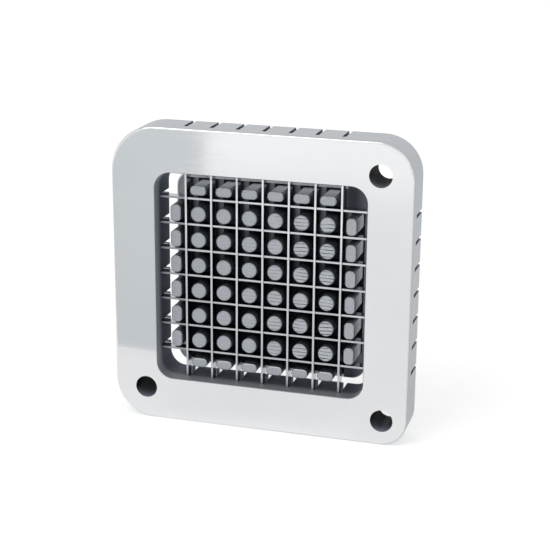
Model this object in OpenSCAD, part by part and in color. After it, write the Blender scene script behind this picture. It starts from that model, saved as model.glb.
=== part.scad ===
// French fry cutter head: a cast aluminium blade frame with a grid of crossed steel strips, and
// the push block whose fingers pass through the grid.
// It is drawn lying on its back, with the front face at z = 0 and everything else below it, and
// is then stood upright: x to the right, y from the front to the rear, z up.

/* [Cut] */
// Distance from one blade to the next, which is the width of a fry
cut_pitch = 9.525; // [9:0.025:12]
// Cells along each side of the grid
cells_per_side = 8; // [6:1:10]

/* [Blade frame] */
// Depth from the front face to the rear face
frame_depth = 15; // [14:0.5:25]
// Wall between the opening and the outside
frame_wall = 16.15; // [15.5:0.05:24]
// What the opening measures beyond its cells
opening_margin = 1; // [0.8:0.1:2]
// Radius in the corners of the opening
opening_corner_r = 6; // [2:0.5:8]
// Outer radius of the upper left corner, which is ground rounder by hand than the others
upper_left_corner_r = 16.5; // [8:0.5:18]
// Outer radius of the upper right corner
upper_right_corner_r = 13.5; // [8:0.5:15]
// Outer radius of the lower left corner
lower_left_corner_r = 14.5; // [8:0.5:15]
// Outer radius of the keyed corner, at the lower right
keyed_corner_r = 9.5; // [6:0.5:15]
// Rounding along the front outer edge
front_edge_r = 0.8; // [0.3:0.1:2]
// Rounding along the rear outer edge
rear_edge_r = 0.6; // [0.3:0.1:2]
// Bevel along the opening's front edge
opening_bevel = 0.2; // [0.1:0.05:1]
// Bore for a mounting stud
stud_bore_d = 8.2; // [5:0.1:9]
// From the outside to the middle of a stud bore
stud_inset = 11.8; // [10:0.1:12]
// The same for the keyed corner
keyed_stud_inset = 9.1; // [7.5:0.1:12]
// Width of the slot that a blade end lies in
slot_width = 1.4; // [1:0.1:2]
// From the bottom of a slot to the blade's front edge
slot_bottom_gap = 0.4; // [0.2:0.1:1.5]
// How far the slots for the vertical blades are sawn to the right of them
vertical_slot_shift = 0.3; // [0:0.05:0.3]

/* [Blades] */
// Thickness of a strip
blade_thickness = 0.7; // [0.4:0.05:0.9]
// Depth of a strip from its front edge to its ground rear edge
blade_depth = 5; // [4.5:0.1:5.5]
// From the frame's front face to the vertical blades
vertical_blade_start = 4.8; // [3:0.1:5]
// How much further back the horizontal blades are
blade_stagger = 0.5; // [0.3:0.1:0.7]
// Length of the ground bevel on the rear edge
grind_length = 1.2; // [0.5:0.1:2]
// Thickness that the grinding leaves at the edge
ground_edge = 0.15; // [0.1:0.05:0.3]
// Width of the ear at each end of a strip
ear_width = 6; // [5:0.5:7]
// Depth of an ear from the strip's front edge
ear_depth = 8.5; // [8:0.1:8.7]
// From the middle of an ear's hole to the ear's rear edge
ear_behind_rod = 2.8; // [2.4:0.1:3.2]
// From the opening's side to the middle of the retaining rod
rod_offset = 8; // [7:0.5:9]
// Diameter of a retaining rod
rod_d = 3; // [2:0.1:3.2]
// Length of a retaining rod
rod_length = 64; // [62:1:66]

/* [Push block] */
// Space between a round finger and the blades beside it
finger_gap = 1.6; // [0.5:0.05:2]
// Length of the fingers in front of the plate
finger_length = 10.9; // [9:0.1:14]
// Thickness of the flat fingers in the left and right columns
side_finger_thickness = 3.95; // [3.3:0.05:4.5]
// Space between such a finger and the blades above and below it
side_finger_end_gap = 1.3; // [0.5:0.05:2]
// Thickness of the flat fingers in the top and bottom rows
row_finger_thickness = 3.35; // [3.3:0.05:4]
// Space between such a finger and the blades to its left and right
row_finger_end_gap = 1.4; // [0.5:0.05:2]
// Space between the left and right columns and the blade along their inner face
side_finger_inner_gap = 1.45; // [1:0.05:1.6]
// Space between the top and bottom rows and the blade along their inner face
row_finger_inner_gap = 1.85; // [1.4:0.05:2.1]
// Corner radius of a flat finger
flat_finger_corner_r = 1.6; // [0.5:0.05:1.6]
// Small bevel round the tip of every finger
tip_bevel = 0.3; // [0.1:0.05:0.5]
// Thickness of the plate
plate_thickness = 6; // [4:0.5:12]
// Border of the plate outside the left and right columns
plate_side_lip = 1.65; // [0.8:0.05:2]
// Border of the plate outside the top and bottom rows
plate_row_lip = 2.3; // [0.8:0.05:2.4]
// Corner radius of the plate
plate_corner_r = 5.3; // [3:0.1:8]
// Rounding along the plate's edges
plate_edge_r = 1.5; // [0.3:0.1:2]
// Side of the square boss on the rear of the plate
boss_side = 36; // [30:1:60]
// Height of the boss
boss_height = 4; // [1:0.5:10]
// Bore of the two tapped holes in the boss
screw_bore_d = 5; // [3:0.5:6]
// Distance between the two tapped holes
screw_spacing = 22; // [14:1:22]
// Depth of the tapped holes
screw_bore_depth = 8; // [4:0.5:8]
// How far the block rests to the left of the grid's middle
rest_left = 0.36; // [0:0.04:0.6]
// How far the block rests below the grid's middle
rest_low = 1; // [0:0.05:1.1]

/* [Hidden] */
$fn = 96;
cut = 1;                        // what a cutting tool reaches past a surface
fit_gap = 0.05;                 // running clearance on each side of a notch or rod
groove_gap = 0.15;              // the same on each side of a rod in its groove
straight_rest = 0.02;           // straight stretch left between the round corners of a groove

opening_side = cells_per_side * cut_pitch + opening_margin;
frame_side = opening_side + 2 * frame_wall;
half_frame = frame_side / 2;
half_opening = opening_side / 2;
stud_at = half_frame - stud_inset;
keyed_stud_at = half_frame - keyed_stud_inset;

blades_each_way = cells_per_side - 1;
horizontal_blade_start = vertical_blade_start + blade_stagger;
lap_depth = (horizontal_blade_start + vertical_blade_start + blade_depth) / 2;
rod_at = half_opening + rod_offset;
half_blade = rod_at + ear_width / 2;
rod_behind_edge = ear_depth - ear_behind_rod;
blade_notch = blade_thickness + 2 * fit_gap;

finger_d = cut_pitch - blade_thickness - 2 * finger_gap;
side_finger_length = cut_pitch - blade_thickness - 2 * side_finger_end_gap;
row_finger_length = cut_pitch - blade_thickness - 2 * row_finger_end_gap;
inner_fingers = cells_per_side - 2;
last_blade = inner_fingers / 2 * cut_pitch;
last_blade_face = last_blade + blade_thickness / 2;
columns_reach = last_blade_face + side_finger_inner_gap + side_finger_thickness;
rows_reach = last_blade_face + row_finger_inner_gap + row_finger_thickness;
plate_width = 2 * (columns_reach + plate_side_lip);
plate_height = 2 * (rows_reach + plate_row_lip);
tip_start = horizontal_blade_start;
plate_start = tip_start + finger_length;
boss_start = plate_start + plate_thickness;
overall_depth = boss_start + boss_height;

// Position of blade or cell number i out of n, counted from the left or from the bottom
function grid_at(i, n) = (i - (n + 1) / 2) * cut_pitch;

function four_times(r) = [for (k = [1:4]) r];

// Stands the head up on its lower side, with the middle of the base at the origin
module upright() {
    translate([0, -overall_depth / 2, half_frame])
        rotate([90, 0, 0])
            children();
}

// A flat outline made into a solid that starts at this depth below the front face
module at_depth(start, thickness) {
    translate([0, 0, -start - thickness])
        linear_extrude(thickness)
            children();
}

module round_rect(width, height, r) {
    square([width - 2 * r, height], center = true);
    square([width, height - 2 * r], center = true);
    for (x = [-1, 1], y = [-1, 1])
        translate([x * (width / 2 - r), y * (height / 2 - r)])
            circle(r);
}

// Section through a slab's rim: x outward, y from the rear (0) to the front, both edges rounded
module rim_section(reach, thickness, rear_r, front_r) {
    polygon([
        [0, 0], [reach - rear_r, 0], [reach, rear_r],
        [reach, thickness - front_r], [reach - front_r, thickness], [0, thickness]
    ]);
    translate([reach - rear_r, rear_r])
        circle(rear_r);
    translate([reach - front_r, thickness - front_r])
        circle(front_r);
}

// Slab with rounded rims. Corner radii go round from the lower left, anticlockwise.
module rimmed_slab(width, height, radii, thickness, rear_r, front_r) {
    turns = [[-1, -1], [1, -1], [1, 1], [-1, 1]];
    centres = [
        for (k = [0:3])
            [turns[k].x * (width / 2 - radii[k]), turns[k].y * (height / 2 - radii[k])]
    ];
    for (k = [0:3]) {
        next = (k + 1) % 4;
        along = k % 2 == 0 ? width : height;
        across = k % 2 == 0 ? height : width;
        run = along - radii[k] - radii[next];
        reach = max(radii[k], radii[next]);
        // Quarter of a rounded puck in the corner
        translate(centres[k])
            rotate(180 + 90 * k)
                rotate_extrude(angle = 90)
                    rim_section(radii[k], thickness, rear_r, front_r);
        // Straight rim from this corner to the next
        rotate(90 * k)
            translate([radii[k] - along / 2, reach - across / 2, 0])
                rotate([90, 0, 90])
                    linear_extrude(run)
                        mirror([1, 0])
                            rim_section(reach, thickness, rear_r, front_r);
    }
    linear_extrude(thickness)
        polygon(centres);
}

// Side of a block from its middle to the rim. The upper edge is bevelled, or flares out where
// the bevel is negative.
function bevelled_side(reach, depth, bevel) = [
    [0, 0], [reach, 0], [reach, depth - abs(bevel)], [reach - bevel, depth], [0, depth]
];

// Block with rounded corners and a bevelled upper edge, standing on z = 0
module bevelled_block(width, height, r, depth, bevel) {
    for (x = [-1, 1], y = [-1, 1])
        translate([x * (width / 2 - r), y * (height / 2 - r), 0])
            rotate_extrude()
                polygon(bevelled_side(r, depth, bevel));
    for (bar = [[0, width, height], [90, height, width]])
        rotate(bar[0])
            rotate([90, 0, 90])
                linear_extrude(bar[1] - 2 * r, center = true)
                    for (side = [0, 1])
                        mirror([side, 0])
                            polygon(bevelled_side(bar[2] / 2, depth, bevel));
}

// Cutter for the opening, which flares out at the front edge
module opening_cutter() {
    at_depth(-cut, frame_depth + 2 * cut)
        round_rect(opening_side, opening_side, opening_corner_r);
    translate([0, 0, -frame_depth / 2])
        bevelled_block(opening_side, opening_side, opening_corner_r,
            frame_depth / 2, -opening_bevel);
}

// Slots that the ends of seven strips lie in, open to the rear and to both outer sides. They run
// along x and are moved along y by the shift.
module blade_slots(blade_start, shift) {
    bottom = blade_start - slot_bottom_gap;
    low_side = shift - slot_width / 2;
    for (i = [1:blades_each_way])
        translate([-half_frame - cut, grid_at(i, blades_each_way) + low_side, -frame_depth - cut])
            cube([frame_side + 2 * cut, slot_width, frame_depth + cut - bottom]);
}

// Grooves in the rear face for a pair of retaining rods, with round ends
module rod_grooves(blade_start) {
    width = rod_d + 2 * groove_gap;
    bottom = blade_start + rod_behind_edge - rod_d / 2 - fit_gap;
    for (y = [-rod_at, rod_at])
        translate([0, y, 0])
            at_depth(bottom, frame_depth + cut - bottom)
                round_rect(rod_length + 2 * fit_gap + width, width, (width - straight_rest) / 2);
}

module blade_frame() {
    color([0.84, 0.85, 0.86])
        upright()
            difference() {
                translate([0, 0, -frame_depth])
                    rimmed_slab(frame_side, frame_side,
                        [lower_left_corner_r, keyed_corner_r, upper_right_corner_r, upper_left_corner_r],
                        frame_depth, rear_edge_r, front_edge_r);
                opening_cutter();
                for (p = [
                    [-stud_at, -stud_at], [stud_at, stud_at], [keyed_stud_at, -keyed_stud_at]
                ])
                    translate(p)
                        at_depth(-cut, frame_depth + 2 * cut)
                            circle(d = stud_bore_d);
                blade_slots(horizontal_blade_start, 0);
                rotate(90)
                    blade_slots(vertical_blade_start, -vertical_slot_shift);
                rod_grooves(vertical_blade_start);
                rotate(90)
                    rod_grooves(horizontal_blade_start);
            }
}

// A strip along x with an ear at each end, its ground edge to the rear
module strip(blade_start, notch_from, notch_to) {
    rear = blade_start + blade_depth;
    ear_rear = blade_start + ear_depth;
    ear_inner = half_blade - ear_width;
    difference() {
        rotate([90, 0, 0])
            linear_extrude(blade_thickness, center = true)
                difference() {
                    polygon([
                        [-half_blade, -blade_start], [half_blade, -blade_start],
                        [half_blade, -ear_rear], [ear_inner, -ear_rear], [ear_inner, -rear],
                        [-ear_inner, -rear], [-ear_inner, -ear_rear], [-half_blade, -ear_rear]
                    ]);
                    for (x = [-rod_at, rod_at])
                        translate([x, -blade_start - rod_behind_edge])
                            circle(d = rod_d + 2 * fit_gap);
                    for (i = [1:blades_each_way])
                        translate([grid_at(i, blades_each_way) - blade_notch / 2, -notch_to])
                            square([blade_notch, notch_to - notch_from]);
                }
        for (side = [-1, 1])
            translate([-ear_inner, 0, -rear])
                rotate([90, 0, 90])
                    linear_extrude(2 * ear_inner)
                        polygon([
                            [side * blade_thickness / 2, grind_length],
                            [side * ground_edge / 2, 0],
                            [side * ground_edge / 2, -cut],
                            [side * blade_thickness, -cut],
                            [side * blade_thickness, grind_length]
                        ]);
    }
}

module blade_horizontal(i) {
    color([0.72, 0.73, 0.74])
        upright()
            translate([0, grid_at(i, blades_each_way), 0])
                strip(horizontal_blade_start, horizontal_blade_start - cut, lap_depth + fit_gap);
}

module blade_vertical(i) {
    past_rear = vertical_blade_start + blade_depth + cut;
    color([0.76, 0.77, 0.78])
        upright()
            translate([grid_at(i, blades_each_way), 0, 0])
                rotate(90)
                    strip(vertical_blade_start, lap_depth - fit_gap, past_rear);
}

// A rod along x through the ears of the strips that run the other way
module retaining_rod(turn, side, blade_start) {
    color([0.6, 0.6, 0.6])
        upright()
            rotate(turn)
                translate([-rod_length / 2, side * rod_at, -blade_start - rod_behind_edge])
                    rotate([0, 90, 0])
                        cylinder(h = rod_length, d = rod_d);
}

module retaining_rod_top() {
    retaining_rod(0, 1, vertical_blade_start);
}

module retaining_rod_bottom() {
    retaining_rod(0, -1, vertical_blade_start);
}

module retaining_rod_left() {
    retaining_rod(90, 1, horizontal_blade_start);
}

module retaining_rod_right() {
    retaining_rod(90, -1, horizontal_blade_start);
}

// The fingers are rooted in the plate as deep as its edges are rounded
module round_finger() {
    translate([0, 0, -plate_start - plate_edge_r])
        rotate_extrude()
            polygon(bevelled_side(finger_d / 2, finger_length + plate_edge_r, tip_bevel));
}

// Flat finger on the upper side of the grid, its long side along x
module flat_finger(length, thickness, reach) {
    translate([0, reach - thickness / 2, -plate_start - plate_edge_r])
        bevelled_block(length, thickness, flat_finger_corner_r,
            finger_length + plate_edge_r, tip_bevel);
}

module push_block() {
    color([0.6, 0.6, 0.61])
        upright()
            translate([-rest_left, -rest_low, 0])
                difference() {
                    union() {
                        translate([0, 0, -boss_start])
                            rimmed_slab(plate_width, plate_height, four_times(plate_corner_r),
                                plate_thickness, plate_edge_r, plate_edge_r);
                        at_depth(boss_start - cut, boss_height + cut)
                            round_rect(boss_side, boss_side, plate_corner_r);
                        for (i = [1:inner_fingers], j = [1:inner_fingers])
                            translate([grid_at(i, inner_fingers), grid_at(j, inner_fingers), 0])
                                round_finger();
                        for (turn = [0:90:270], i = [1:inner_fingers])
                            rotate(turn)
                                translate([grid_at(i, inner_fingers), 0, 0])
                                    if (turn % 180 == 0)
                                        flat_finger(row_finger_length, row_finger_thickness,
                                            rows_reach);
                                    else
                                        flat_finger(side_finger_length, side_finger_thickness,
                                            columns_reach);
                    }
                    for (x = [-1, 1])
                        translate([x * screw_spacing / 2, 0, 0])
                            at_depth(overall_depth - screw_bore_depth, screw_bore_depth + cut)
                                circle(d = screw_bore_d);
                }
}

blade_frame();
for (i = [1:blades_each_way])
    blade_vertical(i);
for (i = [1:blades_each_way])
    blade_horizontal(i);
retaining_rod_top();
retaining_rod_bottom();
retaining_rod_left();
retaining_rod_right();
push_block();
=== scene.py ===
import math

import bpy
from mathutils import Matrix, Vector


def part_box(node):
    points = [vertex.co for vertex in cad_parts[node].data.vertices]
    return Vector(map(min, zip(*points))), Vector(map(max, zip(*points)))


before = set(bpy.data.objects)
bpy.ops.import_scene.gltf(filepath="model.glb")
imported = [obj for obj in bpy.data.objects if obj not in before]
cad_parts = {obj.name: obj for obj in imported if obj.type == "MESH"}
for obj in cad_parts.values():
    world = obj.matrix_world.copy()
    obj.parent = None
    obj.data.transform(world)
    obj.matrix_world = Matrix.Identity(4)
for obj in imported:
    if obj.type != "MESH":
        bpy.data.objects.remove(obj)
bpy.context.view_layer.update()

print("fry cutter head: frame loaded,", len(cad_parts), "nodes")

mm = 0.001
frameLow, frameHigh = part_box("blade_frame")
blockLow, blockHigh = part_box("push_block")
gridHeight = (frameLow.z + frameHigh.z) / 2     # middle of the blade grid above the base
noiseRange = (0.3, 0.7)     # most values of a noise texture lie between these
square = 0.9                # a normal's share along an axis above which the surface faces that axis
slanted = 0.5               # and the share below which it is turned away


# small helpers for the materials

def linearColour(hexCode):
    channels = [int(hexCode[i:i + 2], 16) / 255 for i in (1, 3, 5)]
    return [c / 12.92 if c <= 0.04045 else ((c + 0.055) / 1.055) ** 2.4 for c in channels] + [1.0]


def addNode(tree, kind, settings=None, links=None):
    node = tree.nodes.new("ShaderNode" + kind)

    def socket(name):
        if isinstance(name, int):
            return node.inputs[name]
        return next(s for s in node.inputs if s.name == name and s.enabled)

    for name, value in (settings or {}).items():
        if name in ("From", "To"):      # both ends of a range
            socket(name + " Min").default_value, socket(name + " Max").default_value = value
        elif isinstance(name, str) and hasattr(node, name):
            setattr(node, name, value)
        else:
            socket(name).default_value = value
    for name, source in (links or {}).items():
        if not isinstance(source, bpy.types.NodeSocket):
            source = next(s for s in source.outputs if s.enabled)
        tree.links.new(source, socket(name))
    return node


def newMaterial(name, roughness):
    material = bpy.data.materials.new(name)
    material.use_nodes = True
    tree = material.node_tree
    shader = tree.nodes["Principled BSDF"]
    shader.inputs["Metallic"].default_value = 1.0
    shader.inputs["Roughness"].default_value = roughness
    place = addNode(tree, "TexCoord")
    return material, tree, shader, place


def wear(nodes, material):
    for name in nodes:
        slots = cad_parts[name].data.materials
        slots.clear()
        slots.append(material)


# frame: cast aluminium, polished outside, left as cast and sawn inside

polishedFrame = {
    "front": "#e1e2e3",          # linished and buffed face
    "sides": "#b1b5b9",          # the outer rim, sanded only; its darker colour is partly painted shade
    "sidesLightTone": (0.96, 1.05),   # painted light and shade: the rim's top lighter, its upright sides darker
    "edgeShade": 0.9,             # painted shade: how bright the rounded front edge stays towards the right
    "edgeShadeRange": (-30 * mm, 15 * mm),
    "edgeShadeTilt": (0.55, 0.4),     # the rounding's normal to the front, middle and spread
    "frontTilt": (-0.35, -0.9),  # from the sides' finish to that of the face, over the rounding
    "cloudTone": 0.965,          # the darkest of the uneven sheen
    "bevel": "#8e9195",          # edge of the opening, broken with a file, coloured dark as painted shade
    "insideFront": "#b4b8bc",    # casting skin in the opening, near the front, before the painted shade sets in
    "inside": "#5a6070",         # the same further in, and in the slots, darkened as painted shade
    "ledgeLight": "#a4a7ab",          # painted light: the front of the opening's lower side, lighter where it faces up
    "ledgeTilt": (0.2, 0.95),    # how far a surface has to face up to take that painted light
    "ledgeLightLoss": 0.75,           # how much of that painted light is gone further in
    "bores": "#090b0f",          # drilled stud holes, dark as painted shade
    "boreMouth": "#8f96a3",      # painted light on the lower side of their mouths
    "boreShine": 0.04,         # low shine, keeping the bores' painted shade dark
    "roughFront": 0.08,
    "roughSides": 0.42,
    "roughInside": 0.6,
    "roughWander": (-0.02, 0.03),    # how the buffing strokes change the gloss
    "shadeRange": (2.5 * mm, 6 * mm),    # how far in the opening the painted shade sets in
    "interiorReach": 49.6 * mm,  # nothing outside this is an inner wall
    "slotReach": 30 * mm,        # the outermost slots are nearer to the middle than this
    "boreReach": 4.4 * mm,       # from a bore's axis to just outside its wall
    "mouthLightDepth": 12 * mm,
    "boreInset": 11.8 * mm,      # from the frame's edges to two of the bores
    "keyedInset": 9.1 * mm,      # the same at the lower right
    "buffingLength": 45 * mm,    # faint polishing strokes along x
    "buffingWidth": 0.9 * mm,    # coarser than real ones, so that they show
    "cloudSize": 22 * mm,        # uneven sheen from hand polishing
    "pitSize": 0.5 * mm,         # grain of the casting skin
    "pitDepth": 0.03 * mm,
    "bumpStrength": 0.6,
    "strokeBump": 0.02,          # height of the buffing strokes beside that of the grain
}


def polishedCastAluminium(look):
    # buffed aluminium mirrors its surroundings softly; the cast skin inside stays dull, darkened further in
    # as painted shade
    material, tree, shader, place = newMaterial("polishedCastAluminium", look["roughFront"])
    along = addNode(tree, "SeparateXYZ", None, {0: place.outputs["Object"]})
    facing = addNode(tree, "SeparateXYZ", None, {0: place.outputs["Normal"]})
    height = addNode(tree, "Math", {"operation": "SUBTRACT", 1: gridHeight}, {0: along.outputs[2]})
    acrossX = addNode(tree, "Math", {"operation": "ABSOLUTE"}, {0: along.outputs[0]})
    acrossZ = addNode(tree, "Math", {"operation": "ABSOLUTE"}, {0: height})
    reach = addNode(tree, "Math", {"operation": "MAXIMUM"}, {0: acrossX, 1: acrossZ})
    near = addNode(tree, "Math", {"operation": "LESS_THAN", 1: look["interiorReach"]}, {0: reach})
    tilt = addNode(tree, "Math", {"operation": "ABSOLUTE"}, {0: facing.outputs[1]})
    edgeOn = addNode(tree, "Math", {"operation": "LESS_THAN", 1: slanted}, {0: tilt})
    inside = addNode(tree, "Math", {"operation": "MULTIPLY"}, {0: near, 1: edgeOn})
    for axis, distance in ((0, acrossX), (2, acrossZ)):
        sideways = addNode(tree, "Math", {"operation": "ABSOLUTE"}, {0: facing.outputs[axis]})
        flat = addNode(tree, "Math", {"operation": "GREATER_THAN", 1: square}, {0: sideways})
        close = addNode(tree, "Math", {"operation": "LESS_THAN", 1: look["slotReach"]}, {0: distance})
        sawn = addNode(tree, "Math", {"operation": "MULTIPLY"}, {0: flat, 1: close})
        inside = addNode(tree, "Math", {"operation": "MAXIMUM"}, {0: inside, 1: sawn})
    bores = []
    for side, end, inset in ((frameLow, frameLow, "boreInset"), (frameHigh, frameHigh, "boreInset"),
                             (frameHigh, frameLow, "keyedInset")):
        centre = (side.x - math.copysign(look[inset], side.x), 0,
                  end.z - math.copysign(look[inset], end.z - gridHeight))
        level = addNode(tree, "CombineXYZ", None, {0: along.outputs[0], 2: along.outputs[2]})
        away = addNode(tree, "VectorMath", {"operation": "DISTANCE", 1: centre}, {0: level})
        inBore = addNode(tree, "Math", {"operation": "LESS_THAN", 1: look["boreReach"]},
                         {0: away.outputs[1]})
        bores.append(inBore)
    twoBores = addNode(tree, "Math", {"operation": "MAXIMUM"}, {0: bores[0], 1: bores[1]})
    allBores = addNode(tree, "Math", {"operation": "MAXIMUM"}, {0: twoBores, 1: bores[2]})
    bored = addNode(tree, "Math", {"operation": "MULTIPLY"}, {0: allBores, 1: edgeOn})
    toFront = addNode(tree, "MapRange", {"From": look["frontTilt"]}, {"Value": facing.outputs[1]})

    clouds = addNode(tree, "TexNoise", {"Scale": 1 / look["cloudSize"], "Detail": 3.0},
                     {"Vector": place.outputs["Object"]})
    cloudTone = addNode(tree, "MapRange", {"From": noiseRange, "To Min": look["cloudTone"]},
                        {"Value": clouds})
    scale = [1 / look["buffingWidth"]] * 3
    scale[0] = 1 / look["buffingLength"]
    strokes = addNode(tree, "Mapping", {"Scale": scale}, {"Vector": place.outputs["Object"]})
    buffing = addNode(tree, "TexNoise", {"Scale": 1.0, "Detail": 4.0}, {"Vector": strokes})

    outer = addNode(tree, "Mix", {"data_type": "RGBA", "A": linearColour(look["sides"]),
                                  "B": linearColour(look["front"])}, {"Factor": toFront})
    # painted light and shade on the rim, by which way it faces
    sideLightTone = addNode(tree, "MapRange", {"To": look["sidesLightTone"]}, {"Value": facing.outputs[2]})
    faceTone = addNode(tree, "Mix", {"data_type": "FLOAT", "B": 1.0}, {"A": sideLightTone, "Factor": toFront})
    # painted shade dimming the rounded front edge's highlight towards the right
    towardsRight = addNode(tree, "MapRange", {"From": look["edgeShadeRange"]}, {"Value": along.outputs[0]})
    rounded = addNode(tree, "Math",
                      {"operation": "COMPARE", 1: look["edgeShadeTilt"][0], 2: look["edgeShadeTilt"][1]}, {0: tilt})
    edgeShadeThere = addNode(tree, "Math", {"operation": "MULTIPLY"}, {0: towardsRight, 1: rounded})
    edgeTone = addNode(tree, "Mix", {"data_type": "FLOAT", "A": 1.0, "B": look["edgeShade"]},
                       {"Factor": edgeShadeThere})
    someTone = addNode(tree, "Math", {"operation": "MULTIPLY"}, {0: cloudTone, 1: faceTone})
    tone = addNode(tree, "Math", {"operation": "MULTIPLY"}, {0: someTone, 1: edgeTone})
    tinted = addNode(tree, "Mix", {"data_type": "RGBA", "blend_type": "MULTIPLY", "Factor": 1.0},
                     {"A": outer, "B": tone})
    offSquare = addNode(tree, "Math", {"operation": "LESS_THAN", 1: square}, {0: tilt})
    bevelled = addNode(tree, "Math", {"operation": "MULTIPLY"}, {0: near, 1: offSquare})
    # painted shade: the opening's bevel coloured dark
    bevelShaded = addNode(tree, "Mix", {"data_type": "RGBA", "B": linearColour(look["bevel"])},
                    {"A": tinted, "Factor": bevelled})
    depth = addNode(tree, "Math", {"operation": "SUBTRACT", 1: frameLow.y}, {0: along.outputs[1]})
    # painted shade: the cast skin inside darkens further in
    furtherIn = addNode(tree, "MapRange", {"From": look["shadeRange"]}, {"Value": depth})
    skin = addNode(tree, "Mix", {"data_type": "RGBA", "A": linearColour(look["insideFront"]),
                                 "B": linearColour(look["inside"])}, {"Factor": furtherIn})
    # painted light on the upward faces near the front of the opening
    upward = addNode(tree, "MapRange", {"From": look["ledgeTilt"]}, {"Value": facing.outputs[2]})
    fade = addNode(tree, "Math", {"operation": "MULTIPLY_ADD", 1: -look["ledgeLightLoss"], 2: 1.0},
                   {0: furtherIn})
    ledgeLit = addNode(tree, "Math", {"operation": "MULTIPLY"}, {0: upward, 1: fade})
    ledgeLitSkin = addNode(tree, "Mix", {"data_type": "RGBA", "B": linearColour(look["ledgeLight"])},
                    {"A": skin, "Factor": ledgeLit})
    cast = addNode(tree, "Mix", {"data_type": "RGBA"}, {"A": bevelShaded, "B": ledgeLitSkin, "Factor": inside})
    # painted light: the lower side of each bore's mouth lighter, fading inwards
    mouth = addNode(tree, "MapRange", {"From Min": look["mouthLightDepth"], "From Max": 0.0}, {"Value": depth})
    mouthLit = addNode(tree, "Math", {"operation": "MULTIPLY"}, {0: mouth, 1: upward})
    # painted shade: the bores dark inside
    boreShaded = addNode(tree, "Mix", {"data_type": "RGBA", "A": linearColour(look["bores"]),
                                    "B": linearColour(look["boreMouth"])}, {"Factor": mouthLit})
    colour = addNode(tree, "Mix", {"data_type": "RGBA"}, {"A": cast, "B": boreShaded, "Factor": bored})
    tree.links.new(colour.outputs[2], shader.inputs["Base Color"])
    bareMetal = addNode(tree, "Math", {"operation": "SUBTRACT", 0: 1.0}, {1: bored})
    tree.links.new(bareMetal.outputs[0], shader.inputs["Metallic"])
    shader.inputs["Specular IOR Level"].default_value = look["boreShine"]

    outerRough = addNode(tree, "MapRange", {"To Min": look["roughSides"], "To Max": look["roughFront"]},
                         {"Value": toFront})
    unevenRough = addNode(tree, "MapRange", {"From": noiseRange, "To": look["roughWander"]},
                          {"Value": buffing})
    rough = addNode(tree, "Math", {"operation": "ADD"}, {0: outerRough, 1: unevenRough})
    dull = addNode(tree, "Math", {"operation": "MAXIMUM"}, {0: bevelled, 1: inside})
    allRough = addNode(tree, "Mix", {"data_type": "FLOAT", "B": look["roughInside"]},
                       {"A": rough, "Factor": dull})
    tree.links.new(allRough.outputs[0], shader.inputs["Roughness"])

    grain = addNode(tree, "TexNoise", {"Scale": 1 / look["pitSize"], "Detail": 2.0},
                    {"Vector": place.outputs["Object"]})
    castOnly = addNode(tree, "Math", {"operation": "MULTIPLY"}, {0: grain, 1: inside})
    strokesToo = addNode(tree, "Math", {"operation": "MULTIPLY_ADD", 1: look["strokeBump"]},
                         {0: buffing, 2: castOnly})
    bump = addNode(tree, "Bump", {"Strength": look["bumpStrength"], "Distance": look["pitDepth"]},
                   {"Height": strokesToo})
    tree.links.new(bump.outputs[0], shader.inputs["Normal"])
    return material


wear(["blade_frame"], polishedCastAluminium(polishedFrame))
print("frame: polished cast aluminium")


# blades: strip steel, ground along its length

blades = {
    "edgeLow": "#c6cace",        # blunt front edges; painted light makes them brighter towards the top of the grid
    "edgeHigh": {0: "#dfe1e5", 2: "#f3f4f6"},   # level and upright ones
    "brightReach": 30 * mm,      # from the grid's middle to where that change ends, both ways
    "edgeEndShade": "#9da1a6",        # painted shade: level blades darker outside the first upright one
    "face": "#b2b6bb",           # rolled flat faces
    "ground": "#6d7177",         # the ground bevels at the rear
    "scratched": "#9fa3a8",      # deeper grinding lines
    "endShadeRange": (-27.6 * mm, -29.6 * mm),   # where that painted shade begins and is complete
    "edgeTilt": 0.6,             # the least share to the front of a front edge's normal
    "groundTilt": (0.22, 0.1),   # the share to the rear of a ground bevel's normal, and its spread
    "roughEdge": 0.3,
    "roughFace": 0.12,
    "roughLines": 0.08,          # what the grinding lines add
    "lineLength": 14 * mm,
    "lineWidth": 0.16 * mm,      # grinding lines, coarser than real ones
    "lineRange": (0.42, 0.75),   # noise values between which a line deepens
    "lineDepth": 0.004 * mm,
    "bumpStrength": 0.4,
}


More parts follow.
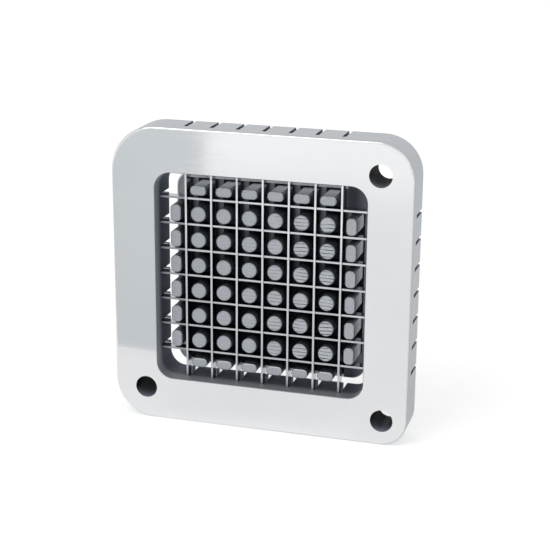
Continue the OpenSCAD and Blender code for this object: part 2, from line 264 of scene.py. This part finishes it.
def groundStripSteel(name, look, lengthAxis):
    # cold rolled stainless strip: its faces mirror what is near, its edges are bright and faintly lined,
    # with painted light towards the top and painted shade at the level ones' left ends
    material, tree, shader, place = newMaterial(name, look["roughEdge"])
    along = addNode(tree, "SeparateXYZ", None, {0: place.outputs["Object"]})
    facing = addNode(tree, "SeparateXYZ", None, {0: place.outputs["Normal"]})
    tilt = addNode(tree, "Math", {"operation": "ABSOLUTE"}, {0: facing.outputs[1]})
    onEdge = addNode(tree, "Math", {"operation": "GREATER_THAN", 1: look["edgeTilt"]}, {0: tilt})
    scale = [1 / look["lineWidth"]] * 3
    scale[lengthAxis] = 1 / look["lineLength"]
    stretched = addNode(tree, "Mapping", {"Scale": scale}, {"Vector": place.outputs["Object"]})
    lines = addNode(tree, "TexNoise", {"Scale": 1.0, "Detail": 3.0}, {"Vector": stretched})
    depth = addNode(tree, "MapRange", {"From": look["lineRange"]}, {"Value": lines})
    # painted light: front edges brighter towards the top of the grid
    high = addNode(tree, "MapRange", {"From Min": gridHeight - look["brightReach"],
                                      "From Max": gridHeight + look["brightReach"]},
                   {"Value": along.outputs[2]})
    edge = addNode(tree, "Mix", {"data_type": "RGBA", "A": linearColour(look["edgeLow"]),
                                 "B": linearColour(look["edgeHigh"][lengthAxis])}, {"Factor": high})
    if lengthAxis == 0:
        # painted shade on the left ends of the level blades
        atEnd = addNode(tree, "MapRange", {"From": look["endShadeRange"]}, {"Value": along.outputs[0]})
        edge = addNode(tree, "Mix", {"data_type": "RGBA", "B": linearColour(look["edgeEndShade"])},
                       {"A": edge, "Factor": atEnd}).outputs[2]
    onBevel = addNode(tree, "Math",
                      {"operation": "COMPARE", 1: look["groundTilt"][0], 2: look["groundTilt"][1]},
                      {0: facing.outputs[1]})
    side = addNode(tree, "Mix", {"data_type": "RGBA", "A": linearColour(look["face"]),
                                 "B": linearColour(look["ground"])}, {"Factor": onBevel})
    clean = addNode(tree, "Mix", {"data_type": "RGBA"}, {"A": side, "B": edge, "Factor": onEdge})
    colour = addNode(tree, "Mix", {"data_type": "RGBA", "B": linearColour(look["scratched"])},
                     {"A": clean, "Factor": depth})
    bareRough = addNode(tree, "MapRange", {"To Min": look["roughFace"], "To Max": look["roughEdge"]},
                        {"Value": onEdge})
    rough = addNode(tree, "Math", {"operation": "MULTIPLY_ADD", 1: look["roughLines"]},
                    {0: depth, 2: bareRough})
    bump = addNode(tree, "Bump", {"Strength": look["bumpStrength"], "Distance": look["lineDepth"]},
                   {"Height": lines})
    tree.links.new(colour.outputs[2], shader.inputs["Base Color"])
    tree.links.new(rough.outputs[0], shader.inputs["Roughness"])
    tree.links.new(bump.outputs[0], shader.inputs["Normal"])
    return material


wear([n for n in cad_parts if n.startswith("blade_vertical")],
     groundStripSteel("groundStripSteelUpright", blades, 2))
wear([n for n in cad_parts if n.startswith("blade_horizontal")],
     groundStripSteel("groundStripSteelLevel", blades, 0))
print("blades: ground strip steel")


# retaining rods: drawn steel wire

rods = {
    "steel": "#8f9296",
    "roughness": (0.47, 0.3),    # beside the streaks and in them
    "streakTone": 0.8,           # how dark the wire is beside the streaks
    "ringWidth": 0.25 * mm,      # faint marks across the wire from its straightening rolls
    "drawLength": 9 * mm,
}


def drawnRodSteel(name, look, lengthAxis):
    # drawn wire has a dull grey shine streaked along its length
    material, tree, shader, place = newMaterial(name, look["roughness"][0])
    scale = [1 / look["ringWidth"]] * 3
    scale[lengthAxis] = 1 / look["drawLength"]
    stretched = addNode(tree, "Mapping", {"Scale": scale}, {"Vector": place.outputs["Object"]})
    streaks = addNode(tree, "TexNoise", {"Scale": 1.0, "Detail": 2.0}, {"Vector": stretched})
    tone = addNode(tree, "MapRange", {"From": noiseRange, "To Min": look["streakTone"]},
                   {"Value": streaks})
    colour = addNode(tree, "Mix", {"data_type": "RGBA", "blend_type": "MULTIPLY", "Factor": 1.0,
                                   "A": linearColour(look["steel"])}, {"B": tone})
    rough = addNode(tree, "MapRange", {"To": look["roughness"]}, {"Value": streaks})
    tree.links.new(colour.outputs[2], shader.inputs["Base Color"])
    tree.links.new(rough.outputs[0], shader.inputs["Roughness"])
    return material


wear(["retaining_rod_top", "retaining_rod_bottom"], drawnRodSteel("drawnRodSteelLevel", rods, 0))
wear(["retaining_rod_left", "retaining_rod_right"], drawnRodSteel("drawnRodSteelUpright", rods, 2))
print("rods: drawn steel")


# push block: cast aluminium with its finger tips milled flat

castBlock = {
    "tip": "#b0b4b9",            # freshly milled metal
    "tipRight": "#bcc0c5",       # brighter where the cutter chattered
    "tipGroove": "#30343a",      # bottoms of the milling lines
    "rim": "#a3a7ac",            # bevel round each tip
    "rimTop": "#fafbfc",         # painted highlight: its upper side in the top row, bright
    "rimTilt": (0.3, 0.6),
    "bottomRim": 0.3,            # how much of that painted highlight the bottom row has
    "behindRim": "#3a3d43",      # painted shadow: a dark line behind the bevel
    "skin": "#80858c",           # casting skin near the tips
    "deepSkin": "#333845",       # painted shade: the same darkened between the fingers
    "shadeDepthRange": (1.5 * mm, 7.5 * mm),
    "outerSkin": "#b5b9bd",      # painted light: skin of the block's outer sides, lighter
    "outerTilt": (-0.97, -0.6),
    "rearSkin": "#979ba1",       # behind the plate's front the painted shade ends and the skin is lighter
    "litBorder": "#f4f6f8",         # painted highlight: the plate's border above and below the rows
    "litSideBorder": "#b9bdc2",     # the same beside the columns
    "plate": "#22262d",          # painted shade: the plate between the fingers, dark
    "plateHigh": "#353a42",      # the same near the top, lighter as painted light
    "plateStripe": "#a8adb4",    # painted light: bright stripes on it, beside each upright blade
    "cornerLeft": "#dcdfe2",     # the plate's bare corners, where no finger stands, lighter on the left as painted light
    # painted shade: the right corners darker
    "cornerRight": "#5e636b",
    "cornerEnd": "#9aa0a8",      # painted light: the outer end of the right ones lighter
    "cornerEndRange": (31 * mm, 35.5 * mm),
    "cornerChange": (-20 * mm, 20 * mm),     # from the left corners' painted light to the right ones' painted shade
    "roughTip": 0.5,
    "roughSkin": 0.62,
    "tipDepth": 0.02 * mm,       # nothing behind this is a milled tip
    "rimDepth": 0.32 * mm,       # the bevel behind each tip
    "lineEnd": 0.85 * mm,        # rear end of the dark line behind it
    "outerReach": 33.95 * mm,    # from the block's middle to just inside its outer sides
    "rowStart": 28.4 * mm,       # from the block's middle to the top and bottom rows
    "borderStart": 34.75 * mm,   # from the block's middle to the borders
    "sideBorderStart": 34.8 * mm,
    "plateDepth": 10.7 * mm,     # from the tips to just in front of the plate
    "plateTilt": -0.4,
    "plateRise": (-4 * mm, 30 * mm),     # from the block's middle, where the plate gets lighter
    "stripeStart": -29.4 * mm,   # left edge of the first bright stripe
    "stripePitch": 9.525 * mm,
    "stripeShare": 0.23,         # share of the pitch that is bright
    "stripeRise": 0.14,          # share over which a stripe rises to its full brightness
    "stripeFirst": 0.2,          # how bright it starts
    "cornerStart": (-31.9 * mm, 28.3 * mm),   # sideways to the bare corners, left and right
    "cornerHeight": 26 * mm,     # and upwards or downwards
    "shadeRange": (12.2 * mm, 13.4 * mm),    # from the tips to where the painted shade ends again
    "millingPitch": 1.3 * mm,    # feed of the milling cutter, lines across the tips
    "millingReach": 28 * mm,     # the lines stop at the rows and columns along the sides
    "millingRange": (-9 * mm, 20 * mm),  # over which they get deeper
    "millingLeft": 0.1,          # their depth on the left
    "grooveRange": (0.6, 0.95),  # how sharp a line is, on a wave from -1 to 1
    "waverSize": 9 * mm,         # the lines waver a little
    "waverReach": 1.1 * mm,
    "patchSize": 7 * mm,         # and come in patches
    "patchRange": (0.34, 0.55),
    "grooveBump": 0.5,
    "speckSize": 0.22 * mm,
    "speckTone": (0.8, 1.06),
    "grainSize": 0.45 * mm,
    "grainDepth": 0.04 * mm,
    "bumpStrength": 0.7,
}


def castAluminiumBlock(look):
    # sand cast skin is grey and dull, darkened between the fingers as painted shade; the tips are cut bright
    material, tree, shader, place = newMaterial("castAluminiumBlock", look["roughSkin"])
    along = addNode(tree, "SeparateXYZ", None, {0: place.outputs["Object"]})
    depth = addNode(tree, "Math", {"operation": "SUBTRACT", 1: blockLow.y}, {0: along.outputs[1]})
    shallow = addNode(tree, "Math", {"operation": "LESS_THAN", 1: look["tipDepth"]}, {0: depth})
    onRim = addNode(tree, "Math", {"operation": "LESS_THAN", 1: look["rimDepth"]}, {0: depth})
    onLine = addNode(tree, "Math", {"operation": "LESS_THAN", 1: look["lineEnd"]}, {0: depth})
    facing = addNode(tree, "SeparateXYZ", None, {0: place.outputs["Normal"]})
    # painted shade: the skin darkens further back between the fingers, and ends behind the plate's front
    recessShade = addNode(tree, "MapRange", {"From": look["shadeDepthRange"]}, {"Value": depth})
    shadedSkin = addNode(tree, "Mix", {"data_type": "RGBA", "A": linearColour(look["skin"]),
                                    "B": linearColour(look["deepSkin"])}, {"Factor": recessShade})
    shadeLifted = addNode(tree, "MapRange", {"From": look["shadeRange"]}, {"Value": depth})
    darkened = addNode(tree, "Mix", {"data_type": "RGBA", "B": linearColour(look["rearSkin"])},
                       {"A": shadedSkin, "Factor": shadeLifted})
    offsets = []
    fromMiddle = []
    for axis in (0, 2):
        middle = (blockLow[axis] + blockHigh[axis]) / 2
        offset = addNode(tree, "Math", {"operation": "SUBTRACT", 1: middle}, {0: along.outputs[axis]})
        offsets.append(offset)
        fromMiddle.append(addNode(tree, "Math", {"operation": "ABSOLUTE"}, {0: offset}))
    reach = addNode(tree, "Math", {"operation": "MAXIMUM"}, {0: fromMiddle[0], 1: fromMiddle[1]})
    farOut = addNode(tree, "Math", {"operation": "GREATER_THAN", 1: look["outerReach"]}, {0: reach})
    sideways = addNode(tree, "MapRange", {"From": look["outerTilt"]}, {"Value": facing.outputs[1]})
    outside = addNode(tree, "Math", {"operation": "MULTIPLY"}, {0: farOut, 1: sideways})
    # painted light on the block's outward faces
    outerLit = addNode(tree, "Mix", {"data_type": "RGBA", "B": linearColour(look["outerSkin"])},
                     {"A": darkened, "Factor": outside})

    # the plate's front: painted light in stripes beside the blades and towards the top, painted shade
    # between the fingers, and painted highlights on the borders
    # painted light: a bright stripe beside each upright blade
    fromStripe = addNode(tree, "Math", {"operation": "SUBTRACT", 1: look["stripeStart"]}, {0: offsets[0]})
    pitches = addNode(tree, "Math", {"operation": "DIVIDE", 1: look["stripePitch"]}, {0: fromStripe})
    share = addNode(tree, "Math", {"operation": "FRACT"}, {0: pitches})
    inStripe = addNode(tree, "Math", {"operation": "LESS_THAN", 1: look["stripeShare"]}, {0: share})
    rising = addNode(tree, "MapRange", {"From Max": look["stripeRise"], "To Min": look["stripeFirst"]},
                     {"Value": share})
    striped = addNode(tree, "Math", {"operation": "MULTIPLY"}, {0: inStripe, 1: rising})
    upBlock = addNode(tree, "MapRange", {"From": look["plateRise"]}, {"Value": offsets[1]})
    stripedHere = addNode(tree, "Math", {"operation": "MULTIPLY"}, {0: striped, 1: upBlock})
    plate = addNode(tree, "Mix", {"data_type": "RGBA", "A": linearColour(look["plate"]),
                                  "B": linearColour(look["plateHigh"])}, {"Factor": upBlock})
    brightened = addNode(tree, "Mix", {"data_type": "RGBA", "B": linearColour(look["plateStripe"])},
                         {"A": plate, "Factor": stripedHere})
    # painted highlights on the plate's borders
    atBorder = addNode(tree, "Math", {"operation": "GREATER_THAN", 1: look["borderStart"]},
                       {0: fromMiddle[1]})
    atSide = addNode(tree, "Math", {"operation": "GREATER_THAN", 1: look["sideBorderStart"]},
                     {0: fromMiddle[0]})
    sideBorderLit = addNode(tree, "Mix", {"data_type": "RGBA", "B": linearColour(look["litSideBorder"])},
                         {"A": brightened, "Factor": atSide})
    bordered = addNode(tree, "Mix", {"data_type": "RGBA", "B": linearColour(look["litBorder"])},
                       {"A": sideBorderLit, "Factor": atBorder})
    deepEnough = addNode(tree, "Math", {"operation": "GREATER_THAN", 1: look["plateDepth"]}, {0: depth})
    toFront = addNode(tree, "Math", {"operation": "LESS_THAN", 1: look["plateTilt"]},
                      {0: facing.outputs[1]})
    onPlate = addNode(tree, "Math", {"operation": "MULTIPLY"}, {0: deepEnough, 1: toFront})
    plated = addNode(tree, "Mix", {"data_type": "RGBA"}, {"A": outerLit, "B": bordered, "Factor": onPlate})
    leftBare = addNode(tree, "Math", {"operation": "LESS_THAN", 1: look["cornerStart"][0]},
                       {0: offsets[0]})
    rightBare = addNode(tree, "Math", {"operation": "GREATER_THAN", 1: look["cornerStart"][1]},
                        {0: offsets[0]})
    eitherBare = addNode(tree, "Math", {"operation": "MAXIMUM"}, {0: leftBare, 1: rightBare})
    atCorner = addNode(tree, "Math", {"operation": "GREATER_THAN", 1: look["cornerHeight"]},
                       {0: fromMiddle[1]})
    cornerPlate = addNode(tree, "Math", {"operation": "MULTIPLY"}, {0: eitherBare, 1: atCorner})
    bare = addNode(tree, "Math", {"operation": "MULTIPLY"}, {0: cornerPlate, 1: onPlate})
    # painted light and shade on the bare corners: lighter left, darker right, lighter again at the right end
    acrossBlock = addNode(tree, "MapRange", {"From": look["cornerChange"]}, {"Value": along.outputs[0]})
    outwards = addNode(tree, "MapRange", {"From": look["cornerEndRange"]}, {"Value": offsets[0]})
    rightCorner = addNode(tree, "Mix", {"data_type": "RGBA", "A": linearColour(look["cornerRight"]),
                                        "B": linearColour(look["cornerEnd"])}, {"Factor": outwards})
    corner = addNode(tree, "Mix", {"data_type": "RGBA", "A": linearColour(look["cornerLeft"])},
                     {"B": rightCorner, "Factor": acrossBlock})
    skin = addNode(tree, "Mix", {"data_type": "RGBA"}, {"A": plated, "B": corner, "Factor": bare})

    # milling lines run across the round tips and are cut deeper towards one side of the block
    waver = addNode(tree, "TexNoise", {"Scale": 1 / look["waverSize"], "Detail": 2.0},
                    {"Vector": place.outputs["Object"]})
    shifted = addNode(tree, "Math", {"operation": "MULTIPLY_ADD", 1: look["waverReach"]},
                      {0: waver, 2: along.outputs[2]})
    turns = addNode(tree, "Math", {"operation": "MULTIPLY", 1: 2 * math.pi / look["millingPitch"]},
                    {0: shifted})
    swing = addNode(tree, "Math", {"operation": "SINE"}, {0: turns})
    groove = addNode(tree, "MapRange", {"From": look["grooveRange"]}, {"Value": swing})
    patches = addNode(tree, "TexNoise", {"Scale": 1 / look["patchSize"], "Detail": 1.0},
                      {"Vector": place.outputs["Object"]})
    chattered = addNode(tree, "MapRange", {"From": look["patchRange"]}, {"Value": patches})
    towardsRight = addNode(tree, "MapRange",
                           {"From": look["millingRange"], "To Min": look["millingLeft"]},
                           {"Value": along.outputs[0]})
    cutHere = addNode(tree, "Math", {"operation": "MULTIPLY"}, {0: chattered, 1: towardsRight})
    roundOnes = addNode(tree, "Math", {"operation": "LESS_THAN", 1: look["millingReach"]}, {0: reach})
    cutDepth = addNode(tree, "Math", {"operation": "MULTIPLY"}, {0: cutHere, 1: roundOnes})
    grooveDepth = addNode(tree, "Math", {"operation": "MULTIPLY"}, {0: groove, 1: cutDepth})
    brighter = addNode(tree, "Math", {"operation": "MULTIPLY"}, {0: towardsRight, 1: roundOnes})
    cutMetal = addNode(tree, "Mix", {"data_type": "RGBA", "A": linearColour(look["tip"]),
                                     "B": linearColour(look["tipRight"])}, {"Factor": brighter})
    milled = addNode(tree, "Mix", {"data_type": "RGBA", "B": linearColour(look["tipGroove"])},
                     {"A": cutMetal, "Factor": grooveDepth})
    specks = addNode(tree, "TexNoise", {"Scale": 1 / look["speckSize"], "Detail": 2.0},
                     {"Vector": place.outputs["Object"]})
    speckTone = addNode(tree, "MapRange", {"From": noiseRange, "To": look["speckTone"]},
                        {"Value": specks})
    speckled = addNode(tree, "Mix", {"data_type": "RGBA", "blend_type": "MULTIPLY", "Factor": 1.0},
                       {"A": milled, "B": speckTone})
    # painted shadow: a dark line just behind each tip's bevel
    lined = addNode(tree, "Mix", {"data_type": "RGBA", "B": linearColour(look["behindRim"])},
                    {"A": skin, "Factor": onLine})
    # painted highlight on the upper side of the tip bevels in the top and bottom rows
    upward = addNode(tree, "MapRange", {"From": look["rimTilt"]}, {"Value": facing.outputs[2]})
    topRow = addNode(tree, "Math", {"operation": "GREATER_THAN", 1: look["rowStart"]}, {0: offsets[1]})
    bottomRow = addNode(tree, "Math", {"operation": "LESS_THAN", 1: -look["rowStart"]}, {0: offsets[1]})
    inRows = addNode(tree, "Math", {"operation": "MULTIPLY_ADD", 1: look["bottomRim"]},
                     {0: bottomRow, 2: topRow})
    rimHighlight = addNode(tree, "Math", {"operation": "MULTIPLY"}, {0: upward, 1: inRows})
    rim = addNode(tree, "Mix", {"data_type": "RGBA", "A": linearColour(look["rim"]),
                                "B": linearColour(look["rimTop"])}, {"Factor": rimHighlight})
    edged = addNode(tree, "Mix", {"data_type": "RGBA"}, {"A": lined, "B": rim, "Factor": onRim})
    colour = addNode(tree, "Mix", {"data_type": "RGBA"}, {"A": edged, "B": speckled, "Factor": shallow})
    rough = addNode(tree, "Mix", {"data_type": "FLOAT", "A": look["roughSkin"], "B": look["roughTip"]},
                    {"Factor": shallow})
    grain = addNode(tree, "TexNoise", {"Scale": 1 / look["grainSize"], "Detail": 3.0},
                    {"Vector": place.outputs["Object"]})
    cutLines = addNode(tree, "Math", {"operation": "MULTIPLY_ADD", 1: -look["grooveBump"]},
                       {0: grooveDepth, 2: grain})
    bump = addNode(tree, "Bump", {"Strength": look["bumpStrength"], "Distance": look["grainDepth"]},
                   {"Height": cutLines})
    tree.links.new(colour.outputs[2], shader.inputs["Base Color"])
    tree.links.new(rough.outputs[0], shader.inputs["Roughness"])
    tree.links.new(bump.outputs[0], shader.inputs["Normal"])
    return material


wear(["push_block"], castAluminiumBlock(castBlock))
print("push block: cast aluminium")


# studio

studio = {
    "white": 1.0,                # what the camera and shiny metal see all round
    "ambient": 0.56,             # how much of it lights dull surfaces
    "floorColour": "#f4f4f4",
    "floorRough": 0.9,
    "floorShine": 0.1,
    "floorSide": 4.0,
    "floorGlow": 0.44,           # own light that brings the paper up to white
    "floorFar": 0.05,            # what the floor gains in the mirrors of the metal, far in front
    "floorFarRange": (-440 * mm, -330 * mm),
    "floorMiddle": -0.1,
    "floorNear": 0.06,           # what it gains again next to the object
    "floorNearRange": (-130 * mm, -20 * mm),
    "keyPower": 13.0,
    "keySize": 1.5,
    "keyPlace": (-0.9, -1.5, 2.0),
    "fillPower": 2.0,
    "fillSize": 1.2,
    "fillPlace": (1.4, -1.0, 1.2),
    "flagColour": "#dfe3e6",     # grey board in front on the left, mirrored in the polished face
    "flagGlow": (1.05, 0.97),    # at its far and near ends
    "flagRange": (-440 * mm, -80 * mm),
    "flagHeight": 0.6 * mm,      # it lies just over the floor
    "flagCorners": [(-43, -76.2), (-420, -105.8), (-420, -900.8), (-326, -900.8)],
}


def sees(tree):
    # camera, mirror and glass rays
    path = addNode(tree, "LightPath")
    some = addNode(tree, "Math", {"operation": "MAXIMUM"},
                   {0: path.outputs["Is Camera Ray"], 1: path.outputs["Is Glossy Ray"]})
    return addNode(tree, "Math", {"operation": "MAXIMUM"}, {0: some, 1: path.outputs["Is Transmission Ray"]})


def buildWorld(look):
    world = bpy.data.worlds.new("studioWorld")
    world.use_nodes = True
    bpy.context.scene.world = world
    tree = world.node_tree
    background = tree.nodes["Background"]
    background.inputs["Color"].default_value = (1, 1, 1, 1)
    strength = addNode(tree, "MapRange", {"To Min": look["ambient"], "To Max": look["white"]},
                       {"Value": sees(tree)})
    tree.links.new(strength.outputs[0], background.inputs["Strength"])


def buildFloor(look):
    # matt white paper: no gloss, so only the soft shadow shows on it
    half = look["floorSide"] / 2
    mesh = bpy.data.meshes.new("floor")
    corners = [(-half, -half, 0), (half, -half, 0), (half, half, 0), (-half, half, 0)]
    mesh.from_pydata(corners, [], [(0, 1, 2, 3)])
    floor = bpy.data.objects.new("floor", mesh)
    bpy.context.scene.collection.objects.link(floor)
    material = bpy.data.materials.new("whitePaperSweep")
    material.use_nodes = True
    tree = material.node_tree
    shader = tree.nodes["Principled BSDF"]
    shader.inputs["Base Color"].default_value = linearColour(look["floorColour"])
    shader.inputs["Roughness"].default_value = look["floorRough"]
    shader.inputs["Specular IOR Level"].default_value = look["floorShine"]
    shader.inputs["Emission Color"].default_value = (1, 1, 1, 1)
    place = addNode(tree, "TexCoord")
    along = addNode(tree, "SeparateXYZ", None, {0: place.outputs["Object"]})
    near = addNode(tree, "MapRange", {"From": look["floorNearRange"], "To Max": look["floorNear"]},
                   {"Value": along.outputs[1]})
    far = addNode(tree, "MapRange", {"From": look["floorFarRange"], "To Min": look["floorFar"],
                                     "To Max": look["floorMiddle"]}, {"Value": along.outputs[1]})
    level = addNode(tree, "Math", {"operation": "ADD"}, {0: near, 1: far})
    path = addNode(tree, "LightPath")
    mirrored = addNode(tree, "Math", {"operation": "MULTIPLY_ADD", 2: look["floorGlow"]},
                       {0: level, 1: path.outputs["Is Glossy Ray"]})
    glow = addNode(tree, "Math", {"operation": "MULTIPLY"}, {0: sees(tree), 1: mirrored})
    tree.links.new(glow.outputs[0], shader.inputs["Emission Strength"])
    mesh.materials.append(material)


def buildFlag(look):
    # flat grey card, seen only as a darker patch in the mirrors of the metal
    mesh = bpy.data.meshes.new("greyBoard")
    corners = [(x * mm, y * mm, look["flagHeight"]) for x, y in look["flagCorners"]]
    mesh.from_pydata(corners, [], [(0, 1, 2, 3)])
    board = bpy.data.objects.new("greyBoard", mesh)
    bpy.context.scene.collection.objects.link(board)
    material = bpy.data.materials.new("greyCardboard")
    material.use_nodes = True
    tree = material.node_tree
    tree.nodes.remove(tree.nodes["Principled BSDF"])
    place = addNode(tree, "TexCoord")
    along = addNode(tree, "SeparateXYZ", None, {0: place.outputs["Object"]})
    strength = addNode(tree, "MapRange", {"From": look["flagRange"], "To": look["flagGlow"]},
                       {"Value": along.outputs[1]})
    glow = addNode(tree, "Emission", {"Color": linearColour(look["flagColour"])}, {"Strength": strength})
    tree.links.new(glow.outputs[0], tree.nodes["Material Output"].inputs["Surface"])
    mesh.materials.append(material)
    board.visible_camera = board.visible_diffuse = board.visible_shadow = False


def addSoftbox(name, power, size, place):
    lamp = bpy.data.lights.new(name, "AREA")
    lamp.shape = "SQUARE"
    lamp.size = size
    lamp.energy = power
    lightObject = bpy.data.objects.new(name, lamp)
    bpy.context.scene.collection.objects.link(lightObject)
    lightObject.location = place
    towards = Vector((0, 0, gridHeight)) - Vector(place)
    lightObject.rotation_euler = towards.to_track_quat("-Z", "Y").to_euler()


buildWorld(studio)
buildFloor(studio)
buildFlag(studio)
addSoftbox("keySoftbox", studio["keyPower"], studio["keySize"], studio["keyPlace"])
addSoftbox("fillSoftbox", studio["fillPower"], studio["fillSize"], studio["fillPlace"])
bpy.context.scene.view_settings.view_transform = "Standard"
print("studio: paper sweep, board and two softboxes")


# camera

view = {
    "azimuth": 16.218,           # degrees round to the right of the front
    "elevation": 17.18,
    "roll": 0.455,
    "distance": 512.81 * mm,
    "aim": (5.305 * mm, -10.311 * mm, 58.619 * mm),
    "lens": 95.097,
}


def buildCamera(look):
    turn, rise = math.radians(look["azimuth"]), math.radians(look["elevation"])
    back = Vector((math.sin(turn) * math.cos(rise), -math.cos(turn) * math.cos(rise), math.sin(rise)))
    right = Vector((math.cos(turn), math.sin(turn), 0))
    up = back.cross(right)
    pose = Matrix((right, up, back)).transposed() @ Matrix.Rotation(math.radians(look["roll"]), 3, "Z")
    camera = bpy.data.cameras.new("studioCamera")
    camera.lens = look["lens"]
    camera.sensor_width = 36
    camera.clip_start = 0.01
    cameraObject = bpy.data.objects.new("studioCamera", camera)
    bpy.context.scene.collection.objects.link(cameraObject)
    place = Vector(look["aim"]) + back * look["distance"]
    cameraObject.matrix_world = Matrix.Translation(place) @ pose.to_4x4()
    bpy.context.scene.camera = cameraObject


buildCamera(view)
print("camera: in place")
